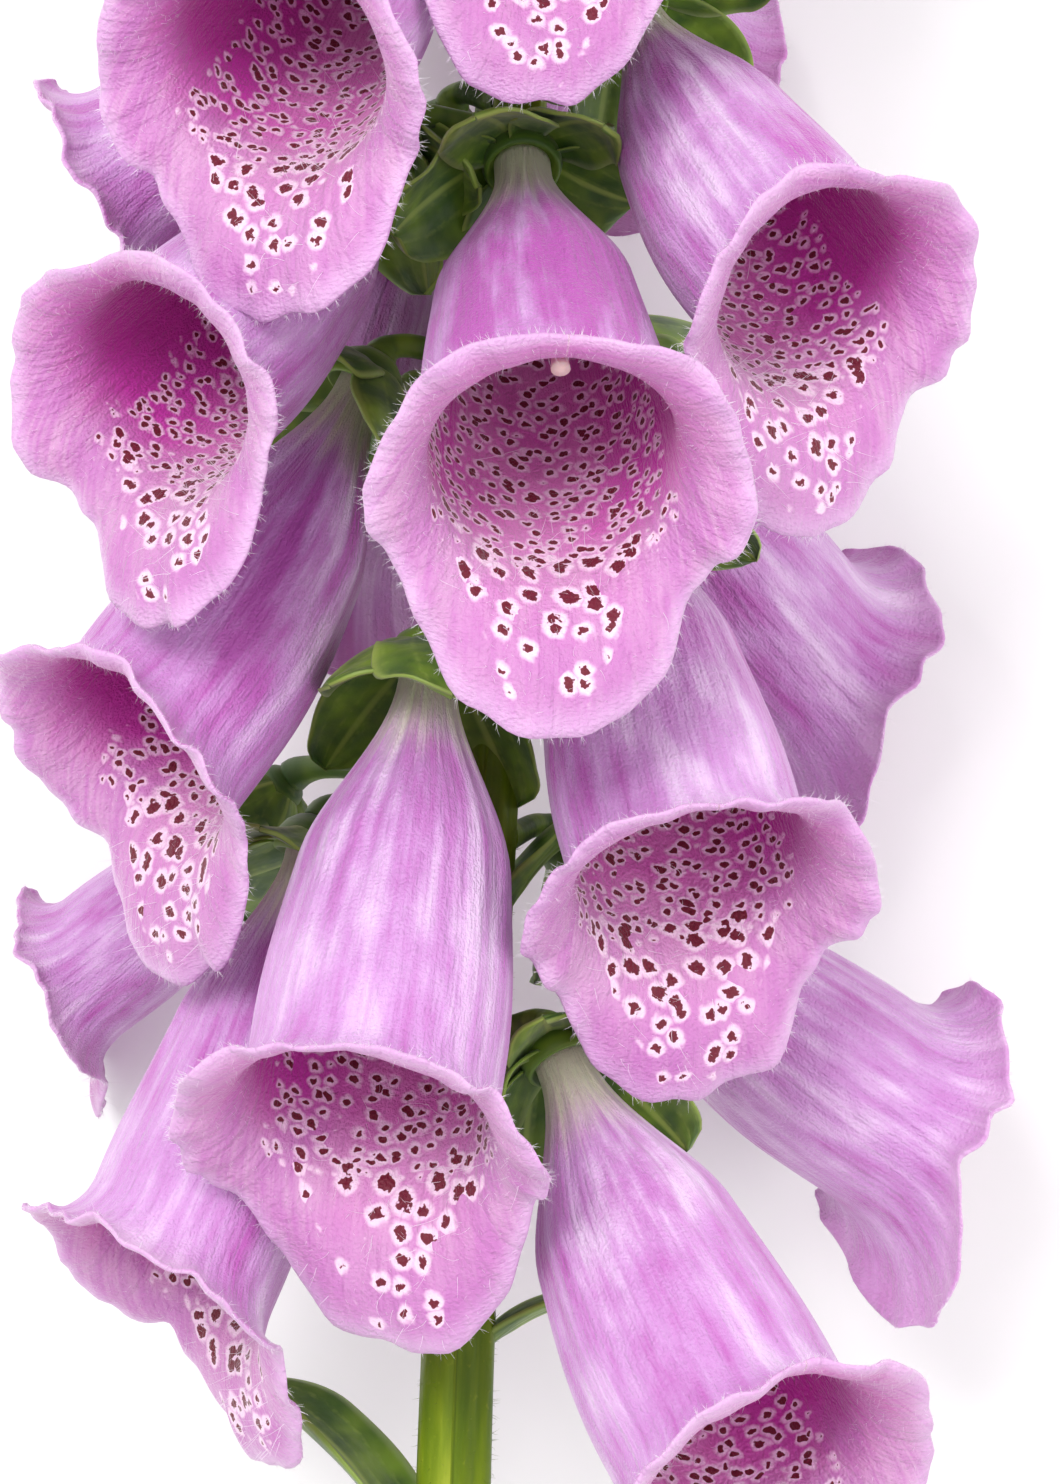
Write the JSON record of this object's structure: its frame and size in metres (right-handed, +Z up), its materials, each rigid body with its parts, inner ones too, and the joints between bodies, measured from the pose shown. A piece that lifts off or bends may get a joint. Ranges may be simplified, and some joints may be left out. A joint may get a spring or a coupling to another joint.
{
  "type": "foxglove flower spike",
  "caption": "Cut foxglove flower spike lying on its back: nodding speckled bells with leafy calyces along a green stem, with closed buds to the tip.",
  "frame": {"origin": "middle of the spike's outline on the surface it lies on", "axes": "+Y along the stem towards its tip, +Z up from the surface, +X to the right seen from above"},
  "size_m": [0.0866, 0.2794, 0.0786],
  "materials": {
    "bract_01": "matt green leaf",
    "bract_02": "matt green leaf",
    "bud_01": "matt green bud",
    "bud_02": "matt green bud",
    "bud_03": "matt green bud",
    "bud_04": "matt green bud",
    "bud_05": "matt green bud",
    "bud_06": "matt green bud",
    "bud_07": "matt green bud",
    "bud_08": "matt green bud",
    "bud_09": "matt green bud",
    "bud_10": "matt green bud",
    "bud_11": "matt green bud",
    "bud_12": "matt green bud",
    "bud_13": "matt green bud",
    "calyx_01": "matt green leaf",
    "calyx_02": "matt green leaf",
    "calyx_03": "matt green leaf",
    "calyx_04": "matt green leaf",
    "calyx_05": "matt green leaf",
    "calyx_06": "matt green leaf",
    "calyx_07": "matt green leaf",
    "calyx_08": "matt green leaf",
    "calyx_09": "matt green leaf",
    "calyx_10": "matt green leaf",
    "calyx_11": "matt green leaf",
    "calyx_12": "matt green leaf",
    "calyx_13": "matt green leaf",
    "calyx_14": "matt green leaf",
    "calyx_15": "matt green leaf",
    "calyx_16": "matt green leaf",
    "calyx_17": "matt green leaf",
    "calyx_18": "matt green leaf",
    "calyx_19": "matt green leaf",
    "calyx_20": "matt green leaf",
    "corolla_01": "soft, waxy petal with fine down",
    "corolla_02": "soft, waxy petal with fine down",
    "corolla_03": "soft, waxy petal with fine down",
    "corolla_04": "soft, waxy petal with fine down",
    "corolla_05": "soft, waxy petal with fine down",
    "corolla_06": "soft, waxy petal with fine down",
    "corolla_07": "soft, waxy petal with fine down",
    "corolla_08": "soft, waxy petal with fine down",
    "corolla_09": "soft, waxy petal with fine down",
    "corolla_10": "soft, waxy petal with fine down",
    "corolla_11": "soft, waxy petal with fine down",
    "corolla_12": "soft, waxy petal with fine down",
    "corolla_13": "soft, waxy petal with fine down",
    "corolla_14": "soft, waxy petal with fine down",
    "corolla_15": "soft, waxy petal with fine down",
    "corolla_16": "soft, waxy petal with fine down",
    "corolla_17": "soft, waxy petal with fine down",
    "corolla_18": "soft, waxy petal with fine down",
    "corolla_19": "soft, waxy petal with fine down",
    "corolla_20": "soft, waxy petal with fine down",
    "pistil_05": "matt cream",
    "stem": "satin green stalk",
    "tip": "matt green bud"
  },
  "bodies": {
    "root": {"bract_01": "bract_01", "bract_02": "bract_02", "bud_01": "bud_01", "bud_02": "bud_02", "bud_03": "bud_03", "bud_04": "bud_04", "bud_05": "bud_05", "bud_06": "bud_06", "bud_07": "bud_07", "bud_08": "bud_08", "bud_09": "bud_09", "bud_10": "bud_10", "bud_11": "bud_11", "bud_12": "bud_12", "bud_13": "bud_13", "calyx_01": "calyx_01", "calyx_02": "calyx_02", "calyx_03": "calyx_03", "calyx_04": "calyx_04", "calyx_05": "calyx_05", "calyx_06": "calyx_06", "calyx_07": "calyx_07", "calyx_08": "calyx_08", "calyx_09": "calyx_09", "calyx_10": "calyx_10", "calyx_11": "calyx_11", "calyx_12": "calyx_12", "calyx_13": "calyx_13", "calyx_14": "calyx_14", "calyx_15": "calyx_15", "calyx_16": "calyx_16", "calyx_17": "calyx_17", "calyx_18": "calyx_18", "calyx_19": "calyx_19", "calyx_20": "calyx_20", "corolla_01": "corolla_01", "corolla_02": "corolla_02", "corolla_03": "corolla_03", "corolla_04": "corolla_04", "corolla_05": "corolla_05", "corolla_06": "corolla_06", "corolla_07": "corolla_07", "corolla_08": "corolla_08", "corolla_09": "corolla_09", "corolla_10": "corolla_10", "corolla_11": "corolla_11", "corolla_12": "corolla_12", "corolla_13": "corolla_13", "corolla_14": "corolla_14", "corolla_15": "corolla_15", "corolla_16": "corolla_16", "corolla_17": "corolla_17", "corolla_18": "corolla_18", "corolla_19": "corolla_19", "corolla_20": "corolla_20", "pistil_05": "pistil_05", "stem": "stem", "tip": "tip"}
  },
  "joints": []
}
